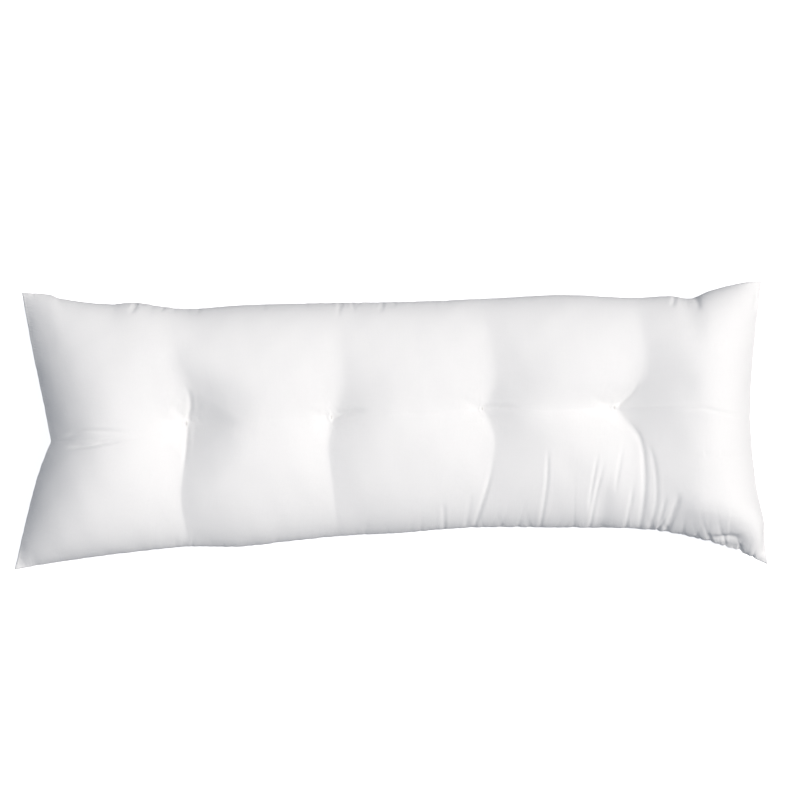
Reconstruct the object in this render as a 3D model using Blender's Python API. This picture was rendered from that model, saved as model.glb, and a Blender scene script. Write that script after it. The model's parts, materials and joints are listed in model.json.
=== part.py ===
"""Body pillow, tufted at four places along its middle, lying on its back on the floor.

Metres, +Z up. +X runs along the pillow's length and +Y across it. The origin is at the middle of the
bounding box's base, so the floor is z = 0. The cover is two equal panels sewn together all round, and
the filled cover is one solid. Four ties go through it, and each shows as a short stitch on both faces.
"""

import math
from typing import NamedTuple

import bmesh
import bpy
from mathutils.bvhtree import BVHTree


class SeamPoint(NamedTuple):
    """A place on a line that runs along the pillow, seen from above."""

    along: float
    across: float


class CrossLine(NamedTuple):
    """How far along the pillow a line across it lies, from the far seam to the near one.

    The columns stand at the shares of the half width in LINE_SHARES. The middle one is at the tie.
    """

    far_seam: float
    far_outer: float
    far_inner: float
    middle: float
    near_inner: float
    near_outer: float
    near_seam: float


class Tuft(NamedTuple):
    """How strongly a tie draws the faces in, as shares of the crown there."""

    pull: float  # right at the tie
    reach_left: float  # how far the dimple spreads along the pillow, in metres
    reach_right: float
    far_valley: float  # depth of the valley from the tie to the far seam
    near_valley: float  # depth of the valley from the tie to the near seam


class Section(NamedTuple):
    """One of the five swells between the valleys."""

    far_fullness: float  # its crown as a share of the full crown, towards the far seam
    near_fullness: float  # and towards the near seam
    middle_dip: float  # share of the crown lost along the middle line
    columns: int  # mesh columns along it


class Fold(NamedTuple):
    """A soft trough in the upper face, from where it starts to where it ends at the near seam."""

    start_along: float
    start_across: float
    end_along: float
    end_across: float
    bow: float  # how far its middle stands off the straight line, towards +X
    depth: float
    half_width: float


# The two long seams. The corners stand out from the ends as ears.
FAR_SEAM = [
    SeamPoint(-0.641, 0.231),
    SeamPoint(-0.594, 0.228),
    SeamPoint(-0.568, 0.220),
    SeamPoint(-0.488, 0.211),
    SeamPoint(-0.447, 0.214),
    SeamPoint(-0.356, 0.203),
    SeamPoint(-0.260, 0.209),
    SeamPoint(-0.120, 0.213),
    SeamPoint(0.020, 0.215),
    SeamPoint(0.174, 0.221),
    SeamPoint(0.298, 0.227),
    SeamPoint(0.419, 0.222),
    SeamPoint(0.484, 0.225),
    SeamPoint(0.519, 0.221),
    SeamPoint(0.552, 0.234),
    SeamPoint(0.609, 0.248),
    SeamPoint(0.643, 0.251),
]
NEAR_SEAM = [
    SeamPoint(-0.654, -0.251),
    SeamPoint(-0.571, -0.237),
    SeamPoint(-0.450, -0.221),
    SeamPoint(-0.348, -0.211),
    SeamPoint(-0.260, -0.211),
    SeamPoint(-0.178, -0.202),
    SeamPoint(-0.091, -0.193),
    SeamPoint(0.020, -0.187),
    SeamPoint(0.138, -0.178),
    SeamPoint(0.300, -0.178),
    SeamPoint(0.422, -0.180),
    SeamPoint(0.500, -0.190),
    SeamPoint(0.588, -0.214),
    SeamPoint(0.654, -0.242),
]

# The left end seam, the valleys through the four ties and the right end seam.
LINE_SHARES = (1.0, 0.6, 0.25, 0.0, -0.25, -0.6, -1.0)
CROSS_LINES = [
    CrossLine(-0.641, -0.621, -0.602, -0.589, -0.611, -0.632, -0.654),
    CrossLine(-0.383, -0.372, -0.347, -0.352, -0.354, -0.362, -0.348),
    CrossLine(-0.090, -0.088, -0.085, -0.102, -0.108, -0.100, -0.091),
    CrossLine(0.155, 0.169, 0.178, 0.158, 0.178, 0.168, 0.136),
    CrossLine(0.419, 0.434, 0.432, 0.386, 0.425, 0.438, 0.421),
    CrossLine(0.643, 0.631, 0.624, 0.622, 0.626, 0.638, 0.654),
]
# The middle line across the ties, given at each cross line and half-way between two.
MIDDLE_LINE = [
    SeamPoint(-0.589, -0.027),
    SeamPoint(-0.480, -0.020),
    SeamPoint(-0.352, 0.004),
    SeamPoint(-0.230, 0.010),
    SeamPoint(-0.102, 0.015),
    SeamPoint(0.020, 0.020),
    SeamPoint(0.158, 0.029),
    SeamPoint(0.270, 0.027),
    SeamPoint(0.386, 0.031),
    SeamPoint(0.520, 0.032),
    SeamPoint(0.622, 0.016),
]

TUFTS = [
    Tuft(pull=0.46, reach_left=0.180, reach_right=0.122, far_valley=0.06, near_valley=0.24),
    Tuft(pull=0.22, reach_left=0.110, reach_right=0.105, far_valley=0.06, near_valley=0.13),
    Tuft(pull=0.23, reach_left=0.160, reach_right=0.165, far_valley=0.13, near_valley=0.14),
    Tuft(pull=0.49, reach_left=0.180, reach_right=0.205, far_valley=0.13, near_valley=0.11),
]
SECTIONS = [
    Section(far_fullness=0.94, near_fullness=1.00, middle_dip=0.035, columns=16),
    Section(far_fullness=1.03, near_fullness=1.02, middle_dip=0.020, columns=16),
    Section(far_fullness=0.91, near_fullness=0.98, middle_dip=0.025, columns=17),
    Section(far_fullness=0.91, near_fullness=0.92, middle_dip=0.025, columns=31),
    Section(far_fullness=0.92, near_fullness=0.94, middle_dip=0.035, columns=21),
]
ROWS_PER_HALF = 12
COLUMN_GATHER = 0.62  # how much closer the mesh columns lie at the valleys
ROW_GATHER = 0.45  # how much closer the mesh rows lie at the seams and at the middle line

UPPER_CROWN = 0.086  # the upper face above the seam
LOWER_CROWN = 0.084  # the lower face below it, before the floor flattens it
SEAM_HEIGHT = 0.067
SEAM_THICKNESS = 0.0024
ACROSS_ROUNDNESS = 2.7
ACROSS_STEEPNESS = 0.56
LEFT_END_REACH = 0.195  # how far in from the left end seam the crown is full
RIGHT_END_REACH = 0.14
END_ROUNDNESS = 3.1
END_STEEPNESS = 0.89

EAR_DROOP = 0.020
EAR_ALONG = 0.640
EAR_ACROSS = 0.240
EAR_POINT_ALONG = 6  # how late the droop sets in along the pillow
EAR_POINT_ACROSS = 4

VALLEY_REACH = 0.140
VALLEY_TURN = 0.4  # share of the half width within which a valley goes over to its other depth
DIMPLE_REACH_ACROSS = 0.150
MIDDLE_REACH = 0.060
CREASE_ROUNDING = 0.003
MIDDLE_ROUNDING = 0.018
CONTACT_ROUNDING = 0.002

FOLDS = [
    Fold(0.091, -0.122, 0.091, -0.176, 0.001, 0.003, 0.007),
    Fold(0.172, -0.030, 0.136, -0.174, 0.012, 0.004, 0.006),
    Fold(0.274, -0.026, 0.259, -0.172, 0.005, 0.004, 0.007),
    Fold(0.359, -0.036, 0.338, -0.160, -0.003, 0.004, 0.006),
    Fold(0.370, -0.058, 0.345, -0.168, -0.003, 0.005, 0.007),
    Fold(0.403, -0.026, 0.386, -0.174, -0.002, 0.004, 0.006),
    Fold(0.414, 0.006, 0.433, -0.176, 0.013, 0.005, 0.006),
    Fold(0.436, -0.016, 0.447, -0.176, 0.014, 0.005, 0.006),
    Fold(0.498, -0.108, 0.477, -0.176, 0.001, 0.004, 0.007),
]
FOLD_RUN_IN = 0.7  # share of its length over which a fold deepens
FOLD_RUN_OUT = 1.1  # how far past its end it goes on, under the seam's edge
FOLD_CLEAR = 1 / 3  # share of the crown from which on a fold has its full depth

STITCH_LENGTH = 0.008
STITCH_THICKNESS = 0.0022
STITCH_ROUNDING = 0.00066
STITCH_GAP = 0.0004

COTTON_WHITE = (0.86, 0.86, 0.85, 1.0)
THREAD_WHITE = (0.80, 0.79, 0.77, 1.0)


def clear_scene():
    for item in list(bpy.data.objects):
        bpy.data.objects.remove(item)


def curve_through(stations, values, at):
    """The height at one place of a smooth curve through a table's points."""
    last = len(stations) - 1
    rising = stations[0] < stations[-1]
    k = 0
    while k < last - 1 and (at > stations[k + 1]) == rising and at != stations[k + 1]:
        k += 1

    def slope(i):
        a, b = max(i - 1, 0), min(i + 1, last)
        return (values[b] - values[a]) / (stations[b] - stations[a])

    span = stations[k + 1] - stations[k]
    u = min(max((at - stations[k]) / span, 0.0), 1.0)
    start, end = slope(k) * span, slope(k + 1) * span
    step = values[k + 1] - values[k]
    bend = 3 * step - 2 * start - end
    return values[k] + u * (start + u * (bend + u * (start + end - 2 * step)))


def along_seam(points, at):
    return curve_through([p.along for p in points], [p.across for p in points], at)


def line_along(line, share):
    """How far along the pillow a cross line lies at a share of the half width. It may turn at the tie."""
    middle = LINE_SHARES.index(0.0)
    half = slice(0, middle + 1) if share >= 0 else slice(middle, len(line))
    return curve_through(LINE_SHARES[half], line[half], share)


def plan(section, part, share):
    """Where a point of the cover lies, seen from above.

    section counts from the left end, part runs from 0 to 1 along it, and share from -1 at the near seam
    to 1 at the far one.
    """

    def blend(at):
        left, right = CROSS_LINES[section], CROSS_LINES[section + 1]
        return line_along(left, at) * (1 - part) + line_along(right, at) * part

    middle = along_seam(MIDDLE_LINE, blend(0.0))
    edge = along_seam(FAR_SEAM, blend(1.0)) if share >= 0 else along_seam(NEAR_SEAM, blend(-1.0))
    return blend(share), middle + (edge - middle) * abs(share)


def swell(inward, roundness, steepness):
    """A share of the crown, from 0 at a seam to 1 where inward is 1."""
    inward = min(max(inward, 0.0), 1.0)
    return (1 - (1 - inward) ** roundness) ** steepness


def rounded_off(distance, rounding):
    """A distance without its sharp turn at nought."""
    return math.hypot(distance, rounding) - rounding


def drawn(away):
    """1 in the bottom of a crease and 0 where away is 1, steepest in the crease as in cloth drawn in."""
    return max(1 - away, 0.0) ** 2


def section_value(of_row, section, part):
    """A value of the sections' table, running evenly from the middle of one swell to the next."""
    beside = min(max(section + (1 if part > 0.5 else -1), 0), len(SECTIONS) - 1)
    here, there = of_row(SECTIONS[section]), of_row(SECTIONS[beside])
    return here + (there - here) * abs(part - 0.5)


def near_to_far(near, far, share, turn):
    """Goes over from the near half's value to the far half's within a share of the half width."""
    return near + (far - near) * (0.5 + 0.5 * math.sin(math.pi / 2 * min(max(share / turn, -1.0), 1.0)))


def fullness(section, part, share):
    """How full the swell is, running evenly from its near half into its far half."""
    near = section_value(lambda row: row.near_fullness, section, part)
    far = section_value(lambda row: row.far_fullness, section, part)
    return near_to_far(near, far, share, 1.0)


def left_by_tie(tuft, line, share, x, y):
    """What one tie leaves of the crown: its valley across the pillow and the pointed dimple round it."""
    valley = near_to_far(tuft.near_valley, tuft.far_valley, share, VALLEY_TURN)
    off_valley = x - line_along(line, share)
    along = rounded_off(off_valley, CREASE_ROUNDING)
    across = rounded_off(y - along_seam(MIDDLE_LINE, line.middle), MIDDLE_ROUNDING)
    reach = tuft.reach_right if off_valley > 0 else tuft.reach_left
    dimple = drawn(math.hypot(along / reach, across / DIMPLE_REACH_ACROSS))
    return (1 - valley * drawn(along / VALLEY_REACH)) * (1 - tuft.pull * dimple)


def crown_share(section, part, share, x, y):
    """How far a face stands off the seam's level, as a share of the full crown."""
    crown = swell(1 - abs(share), ACROSS_ROUNDNESS, ACROSS_STEEPNESS) * fullness(section, part, share)
    from_left = x - line_along(CROSS_LINES[0], share)
    from_right = line_along(CROSS_LINES[-1], share) - x
    crown *= swell(from_left / LEFT_END_REACH, END_ROUNDNESS, END_STEEPNESS)
    crown *= swell(from_right / RIGHT_END_REACH, END_ROUNDNESS, END_STEEPNESS)
    for tuft, line in zip(TUFTS, CROSS_LINES[1:-1]):
        crown *= left_by_tie(tuft, line, share, x, y)
    off_middle = rounded_off(y - along_seam(MIDDLE_LINE, x), MIDDLE_ROUNDING)
    dip = section_value(lambda row: row.middle_dip, section, part)
    return crown * (1 - dip * drawn(off_middle / MIDDLE_REACH))


def fold_depth(fold, x, y):
    """The depth of one fold at a place on the upper face. It deepens from its start to the seam."""
    run_x, run_y = fold.end_along - fold.start_along, fold.end_across - fold.start_across
    length = math.hypot(run_x, run_y)
    u = ((x - fold.start_along) * run_x + (y - fold.start_across) * run_y) / length**2
    if not 0 < u < FOLD_RUN_OUT:
        return 0.0
    off = ((y - fold.start_across) * run_x - (x - fold.start_along) * run_y) / length
    off -= fold.bow * 4 * u * (1 - u)
    deepened = math.sin(min(u / FOLD_RUN_IN, 1.0) * math.pi / 2) ** 2
    return fold.depth * deepened * math.exp(-((off / fold.half_width) ** 2))


def seam_level(x, y):
    """The height of the seam's level, which droops towards the ears."""
    along = min(abs(x) / EAR_ALONG, 1.0) ** EAR_POINT_ALONG
    across = min(abs(y) / EAR_ACROSS, 1.0) ** EAR_POINT_ACROSS
    return SEAM_HEIGHT - EAR_DROOP * along * across


def rest_on_floor(z):
    """Flattens what would lie below the floor, and rounds the way into the flat."""
    if abs(z) < CONTACT_ROUNDING:
        return (z + CONTACT_ROUNDING) ** 2 / (4 * CONTACT_ROUNDING)
    return max(z, 0.0)


def upper_point(section, part, share):
    x, y = plan(section, part, share)
    crown = crown_share(section, part, share, x, y)
    folds = sum(fold_depth(fold, x, y) for fold in FOLDS) * min(crown / FOLD_CLEAR, 1.0)
    return x, y, seam_level(x, y) + SEAM_THICKNESS / 2 + UPPER_CROWN * crown - folds


def lower_point(section, part, share):
    x, y = plan(section, part, share)
    crown = crown_share(section, part, share, x, y)
    return x, y, rest_on_floor(seam_level(x, y) - SEAM_THICKNESS / 2 - LOWER_CROWN * crown)


def gathered(steps, gather):
    """Shares from 0 to 1 that lie closer together at both ends."""
    even = [i / steps for i in range(steps + 1)]
    return [u - gather * math.sin(2 * math.pi * u) / (2 * math.pi) for u in even]


def panel(bm, place):
    """One panel of the cover, a grid whose columns follow the valleys and whose rows follow the seams."""
    columns = []
    for section, row in enumerate(SECTIONS):
        columns += [(section, part) for part in gathered(row.columns, COLUMN_GATHER)[:-1]]
    columns.append((len(SECTIONS) - 1, 1.0))
    half = gathered(ROWS_PER_HALF, ROW_GATHER)
    shares = [-share for share in reversed(half[1:])] + half
    grid = bmesh.ops.create_grid(bm, x_segments=len(columns) - 1, y_segments=len(shares) - 1, size=1.0)
    verts = sorted(grid["verts"], key=lambda v: (round(v.co.y, 5), round(v.co.x, 5)))
    for i, vert in enumerate(verts):
        row, column = divmod(i, len(columns))
        vert.co = place(*columns[column], shares[row])
    return verts


def border_edges(verts):
    return list({edge for vert in verts for edge in vert.link_edges if edge.is_boundary})


def finish(name, bm, colour):
    bmesh.ops.recalc_face_normals(bm, faces=bm.faces)
    mesh = bpy.data.meshes.new(name)
    bm.to_mesh(mesh)
    bm.free()
    mesh.shade_smooth()
    mesh.materials.append(colour)
    made = bpy.data.objects.new(name, mesh)
    bpy.context.scene.collection.objects.link(made)
    return made


def cloth_finish(name, colour, roughness):
    made = bpy.data.materials.new(name)
    made.use_nodes = True
    shader = made.node_tree.nodes["Principled BSDF"]
    shader.inputs["Base Color"].default_value = colour
    shader.inputs["Roughness"].default_value = roughness
    shader.inputs["Metallic"].default_value = 0.0
    return made


def make_pillow(colour):
    """The filled cover: the two panels joined along the narrow edge of the seam."""
    bm = bmesh.new()
    upper = panel(bm, upper_point)
    lower = panel(bm, lower_point)
    bmesh.ops.bridge_loops(bm, edges=border_edges(upper) + border_edges(lower))
    return finish("filled_cover", bm, colour)


def make_stitch(name, line, face, cover, colour):
    """The short stretch of a tie that shows in a dimple: a thick thread along the valley.

    face is 1 for the upper face and -1 for the lower. The stitch is lifted off the cover until no corner of
    it is nearer than the gap.
    """
    bm = bmesh.new()
    bmesh.ops.create_cube(bm, size=1.0)
    bmesh.ops.scale(bm, verts=bm.verts, vec=(STITCH_THICKNESS, STITCH_LENGTH, STITCH_THICKNESS))
    bmesh.ops.bevel(
        bm, geom=list(bm.edges), offset=STITCH_ROUNDING, segments=2, profile=0.5, affect="EDGES", material=-1
    )
    x, y = line.middle, along_seam(MIDDLE_LINE, line.middle)
    well_outside = face * 2 * (UPPER_CROWN + LOWER_CROWN)
    lifts = []
    for vert in bm.verts:
        hit = cover.ray_cast((x + vert.co.x, y + vert.co.y, well_outside), (0, 0, -face))[0]
        lifts.append(face * (hit.z - vert.co.z))
    bmesh.ops.translate(bm, verts=bm.verts, vec=(x, y, face * (max(lifts) + STITCH_GAP)))
    return finish(name, bm, colour)


def main():
    clear_scene()
    cotton = cloth_finish("cotton_cover", COTTON_WHITE, 0.9)
    thread = cloth_finish("tie_thread", THREAD_WHITE, 0.7)
    pillow = make_pillow(cotton).data
    cover = BVHTree.FromPolygons([v.co for v in pillow.vertices], [p.vertices[:] for p in pillow.polygons])
    for count, line in enumerate(CROSS_LINES[1:-1], start=1):
        make_stitch(f"tie_stitch_upper_{count}", line, 1, cover, thread)
        make_stitch(f"tie_stitch_lower_{count}", line, -1, cover, thread)


if __name__ == "__main__":
    main()
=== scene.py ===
"""Looks of the tufted body pillow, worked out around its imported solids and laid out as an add-on.

Metres, +Z up. +X runs along the pillow's length and +Y across it, and the floor is z = 0. The cover follows
the solid's own lines, with every fold, gather and stitch that shows from close by.
"""

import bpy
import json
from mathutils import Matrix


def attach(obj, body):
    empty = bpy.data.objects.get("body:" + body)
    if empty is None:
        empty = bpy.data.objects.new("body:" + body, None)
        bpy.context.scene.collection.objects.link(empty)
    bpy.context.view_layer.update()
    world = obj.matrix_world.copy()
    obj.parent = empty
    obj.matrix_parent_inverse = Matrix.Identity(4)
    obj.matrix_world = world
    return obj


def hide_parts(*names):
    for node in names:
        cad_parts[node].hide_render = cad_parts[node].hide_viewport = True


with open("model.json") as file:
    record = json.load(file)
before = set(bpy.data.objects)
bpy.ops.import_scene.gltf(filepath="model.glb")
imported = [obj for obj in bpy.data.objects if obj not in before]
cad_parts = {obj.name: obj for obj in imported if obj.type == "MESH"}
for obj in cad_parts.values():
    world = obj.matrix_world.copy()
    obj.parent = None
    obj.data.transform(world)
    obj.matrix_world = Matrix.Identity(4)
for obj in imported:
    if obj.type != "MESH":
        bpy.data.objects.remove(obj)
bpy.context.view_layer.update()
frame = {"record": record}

import json
import math
import random
from typing import NamedTuple

import bmesh
import bpy
import numpy as np
from mathutils import Matrix, Vector
from mathutils.bvhtree import BVHTree

bl_info = {
    "name": "Tufted Body Pillow",
    "version": (1, 0, 0),
    "blender": (4, 5, 0),
    "location": "3D View > Sidebar > Body Pillow",
    "description": "Sews, fills, ties and lights a long tufted pillow",
    "category": "Add Mesh",
}


class SeamPoint(NamedTuple):
    """A place on a line that runs along the pillow, seen from above."""

    along: float
    across: float


class CrossLine(NamedTuple):
    """How far along the pillow a line across it lies, at each of LINE_SHARES."""

    far_seam: float
    far_outer: float
    far_inner: float
    middle: float
    near_inner: float
    near_outer: float
    near_seam: float


class Tuft(NamedTuple):
    """How strongly a tie draws the faces in, as shares of the crown there."""

    pull: float
    reach_left: float
    reach_right: float
    far_valley: float
    near_valley: float
    fan: float  # how much further it draws the cloth in, in a fan to its right
    fan_reach: float


class Section(NamedTuple):
    """One of the five swells between the valleys."""

    far_fullness: float
    near_fullness: float
    middle_dip: float
    columns: int
    gather: float  # how much closer the mesh columns lie at its two ends


class Crease(NamedTuple):
    """A trough in the upper face along a line through some places, or a ridge where its depth is negative."""

    depth: float
    half_width: float
    fade_in: float  # share of its length over which it deepens
    fade_out: float  # share of its length over which it runs out
    places: tuple


class Gathers(NamedTuple):
    """A stretch of seam with short puckers across it."""

    seam: str
    start: float
    end: float
    spacing: float
    depth: float
    length: float


# The seams, the lines of the valleys, the tufts and the swells are the solid's. The fans are the scene's own.
FAR_SEAM = [
    SeamPoint(-0.641, 0.231),
    SeamPoint(-0.594, 0.228),
    SeamPoint(-0.568, 0.220),
    SeamPoint(-0.488, 0.211),
    SeamPoint(-0.447, 0.214),
    SeamPoint(-0.356, 0.203),
    SeamPoint(-0.260, 0.209),
    SeamPoint(-0.120, 0.213),
    SeamPoint(0.020, 0.215),
    SeamPoint(0.174, 0.221),
    SeamPoint(0.298, 0.227),
    SeamPoint(0.419, 0.222),
    SeamPoint(0.484, 0.225),
    SeamPoint(0.519, 0.221),
    SeamPoint(0.552, 0.234),
    SeamPoint(0.609, 0.248),
    SeamPoint(0.643, 0.251),
]
NEAR_SEAM = [
    SeamPoint(-0.654, -0.251),
    SeamPoint(-0.571, -0.237),
    SeamPoint(-0.450, -0.221),
    SeamPoint(-0.348, -0.211),
    SeamPoint(-0.260, -0.211),
    SeamPoint(-0.178, -0.202),
    SeamPoint(-0.091, -0.193),
    SeamPoint(0.020, -0.187),
    SeamPoint(0.138, -0.178),
    SeamPoint(0.300, -0.178),
    SeamPoint(0.422, -0.180),
    SeamPoint(0.500, -0.190),
    SeamPoint(0.588, -0.214),
    SeamPoint(0.654, -0.242),
]
LINE_SHARES = (1.0, 0.6, 0.25, 0.0, -0.25, -0.6, -1.0)
CROSS_LINES = [
    CrossLine(-0.641, -0.621, -0.602, -0.589, -0.611, -0.632, -0.654),
    CrossLine(-0.383, -0.372, -0.347, -0.352, -0.354, -0.362, -0.348),
    CrossLine(-0.090, -0.088, -0.085, -0.102, -0.108, -0.100, -0.091),
    CrossLine(0.155, 0.169, 0.178, 0.158, 0.178, 0.168, 0.136),
    CrossLine(0.419, 0.434, 0.432, 0.386, 0.425, 0.438, 0.421),
    CrossLine(0.643, 0.631, 0.624, 0.622, 0.626, 0.638, 0.654),
]
MIDDLE_LINE = [
    SeamPoint(-0.589, -0.027),
    SeamPoint(-0.480, -0.020),
    SeamPoint(-0.352, 0.004),
    SeamPoint(-0.230, 0.010),
    SeamPoint(-0.102, 0.015),
    SeamPoint(0.020, 0.020),
    SeamPoint(0.158, 0.029),
    SeamPoint(0.270, 0.027),
    SeamPoint(0.386, 0.031),
    SeamPoint(0.520, 0.032),
    SeamPoint(0.622, 0.016),
]
TUFTS = [
    Tuft(0.46, 0.180, 0.122, far_valley=0.06, near_valley=0.21, fan=0.125, fan_reach=0.092),
    Tuft(0.22, 0.110, 0.105, far_valley=0.06, near_valley=0.13, fan=0.030, fan_reach=0.060),
    Tuft(0.23, 0.160, 0.165, far_valley=0.13, near_valley=0.14, fan=0.035, fan_reach=0.075),
    Tuft(0.49, 0.180, 0.205, far_valley=0.13, near_valley=0.11, fan=0.100, fan_reach=0.100),
]
SECTIONS = [
    Section(far_fullness=0.94, near_fullness=1.00, middle_dip=0.035, columns=92, gather=0.50),
    Section(far_fullness=1.03, near_fullness=1.02, middle_dip=0.020, columns=88, gather=0.55),
    Section(far_fullness=0.91, near_fullness=0.98, middle_dip=0.025, columns=120, gather=0.35),
    Section(far_fullness=0.91, near_fullness=0.92, middle_dip=0.025, columns=200, gather=0.15),
    Section(far_fullness=0.92, near_fullness=0.94, middle_dip=0.035, columns=130, gather=0.45),
]
ROWS_PER_HALF = 60
ROW_GATHER = 0.60  # how much closer the mesh rows lie at the seams and at the middle line

SEAM_THICKNESS = 0.0024
ACROSS_ROUNDNESS = 2.7
ACROSS_STEEPNESS = 0.56
LEFT_END_REACH = 0.195  # how far in from the left end seam the crown is full
RIGHT_END_REACH = 0.14
END_ROUNDNESS = 3.1
END_STEEPNESS = 0.89
EAR_DROOP = 0.020
EAR_ALONG = 0.640
EAR_ACROSS = 0.240
EAR_POINT_ALONG = 6  # how late the droop sets in along the pillow
EAR_POINT_ACROSS = 4
VALLEY_REACH_LEFT = 0.170
VALLEY_REACH_RIGHT = 0.105
VALLEY_TURN = 0.4  # share of the half width within which a valley goes over to its other depth
FAR_VALLEY_ROUNDING = 0.009
DIMPLE_REACH_ACROSS = 0.150
DIMPLE_ROUNDING_LEFT = 0.022
DIMPLE_ROUNDING_RIGHT = 0.007
DIMPLE_TURN = 0.03  # distance within which the rounding goes over from left to right
DIMPLE_POINT = 1.3  # 2 would make the rings round the ties oval, 1 pointed
FAN_LEFT = 0.035  # how far a fan reaches to the left of its tie
FAN_ACROSS = 0.048  # how far it reaches to either side of the middle line
FAN_STEEPNESS = 1.4
MIDDLE_REACH = 0.060
MIDDLE_ROUNDING = 0.018
CONTACT_ROUNDING = 0.002

# Folds that run down to the near seam.
NEAR_FOLDS = [
    Crease(0.0012, 0.0018, 0.4, 0.0, ((0.089, -0.128), (0.091, -0.152), (0.092, -0.182))),
    Crease(0.0007, 0.0022, 0.4, 0.0, ((0.138, -0.110), (0.134, -0.145), (0.128, -0.182))),
    Crease(
        0.0016, 0.0020, 0.8, 0.0,
        ((0.174, -0.043), (0.171, -0.082), (0.161, -0.120), (0.142, -0.182)),
    ),
    Crease(
        0.0014, 0.0017, 0.5, 0.0,
        ((0.270, -0.034), (0.269, -0.064), (0.267, -0.105), (0.257, -0.180)),
    ),
    Crease(
        0.0013, 0.0015, 0.3, 0.3,
        ((0.358, -0.040), (0.350, -0.080), (0.344, -0.120), (0.341, -0.154)),
    ),
    Crease(
        0.0016, 0.0017, 0.3, 0.0,
        ((0.369, -0.056), (0.356, -0.105), (0.3475, -0.150), (0.343, -0.182)),
    ),
    Crease(0.0034, 0.0085, 0.6, 0.0, ((0.371, -0.080), (0.364, -0.130), (0.360, -0.182))),
    Crease(
        0.0010, 0.0017, 0.4, 0.4,
        ((0.403, -0.024), (0.395, -0.057), (0.389, -0.091), (0.386, -0.124)),
    ),
    Crease(0.0012, 0.0018, 0.5, 0.0, ((0.418, -0.096), (0.413, -0.130), (0.405, -0.180))),
    Crease(
        0.0015, 0.0023, 0.2, 0.0,
        ((0.406, 0.012), (0.430, -0.026), (0.4355, -0.078), (0.435, -0.129), (0.429, -0.180)),
    ),
    Crease(
        0.0011, 0.0021, 0.4, 0.0,
        ((0.436, -0.019), (0.450, -0.053), (0.456, -0.095), (0.456, -0.136), (0.447, -0.180)),
    ),
    Crease(0.0022, 0.0026, 0.4, 0.0, ((0.498, -0.112), (0.488, -0.143), (0.477, -0.178))),
    Crease(0.0010, 0.0018, 0.4, 0.0, ((0.475, -0.116), (0.468, -0.146), (0.462, -0.178))),
]
# The pinched line along the middle.
MIDDLE_CREASES = [
    Crease(
        0.0020, 0.0019, 0.2, 0.5,
        ((-0.568, -0.020), (-0.529, -0.010), (-0.484, -0.010), (-0.420, -0.014)),
    ),
    Crease(
        0.0034, 0.0019, 0.2, 0.5,
        ((-0.565, -0.038), (-0.519, -0.034), (-0.484, -0.028), (-0.420, -0.022)),
    ),
    Crease(
        0.0030, 0.0026, 0.1, 0.6,
        ((-0.105, 0.010), (-0.088, 0.019), (-0.060, 0.024), (-0.030, 0.025)),
    ),
    Crease(0.0004, 0.0020, 0.4, 0.6, ((0.010, 0.020), (0.060, 0.020), (0.120, 0.022))),
    Crease(
        0.0024, 0.0024, 0.1, 0.6,
        ((0.150, 0.029), (0.178, 0.031), (0.205, 0.031), (0.230, 0.028)),
    ),
    Crease(
        0.0018, 0.0022, 0.5, 0.5,
        ((0.470, 0.028), (0.535, 0.029), (0.570, 0.022), (0.610, 0.014)),
    ),
]
# Short pulls in the cloth that run in to the ties.
TIE_PULLS = [
    Crease(
        0.0018, 0.0021, 0.1, 0.6,
        ((-0.352, 0.006), (-0.346, 0.030), (-0.347, 0.052), (-0.356, 0.072)),
    ),
    Crease(
        0.0016, 0.0021, 0.1, 0.6,
        ((-0.352, 0.000), (-0.353, -0.025), (-0.355, -0.055), (-0.360, -0.095)),
    ),
    Crease(
        0.0022, 0.0021, 0.1, 0.6,
        ((0.388, 0.032), (0.404, 0.046), (0.420, 0.062), (0.431, 0.082)),
    ),
    Crease(0.0012, 0.0040, 0.7, 0.1, ((-0.398, -0.036), (-0.378, -0.018), (-0.357, 0.000))),
    Crease(0.0010, 0.0035, 0.7, 0.1, ((-0.408, 0.012), (-0.382, 0.008), (-0.357, 0.005))),
    Crease(0.0010, 0.0035, 0.7, 0.1, ((-0.386, 0.042), (-0.370, 0.026), (-0.356, 0.008))),
    Crease(0.0010, 0.0035, 0.7, 0.1, ((-0.150, 0.030), (-0.128, 0.020), (-0.106, 0.016))),
    Crease(0.0010, 0.0035, 0.7, 0.1, ((-0.142, -0.010), (-0.122, 0.003), (-0.106, 0.012))),
    Crease(0.0010, 0.0035, 0.7, 0.1, ((0.112, 0.048), (0.134, 0.038), (0.154, 0.031))),
    Crease(0.0010, 0.0035, 0.7, 0.1, ((0.116, 0.012), (0.136, 0.020), (0.154, 0.027))),
    Crease(0.0012, 0.0035, 0.7, 0.1, ((0.338, 0.052), (0.360, 0.042), (0.382, 0.033))),
    Crease(0.0012, 0.0035, 0.7, 0.1, ((0.336, 0.020), (0.358, 0.024), (0.382, 0.029))),
]
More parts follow.
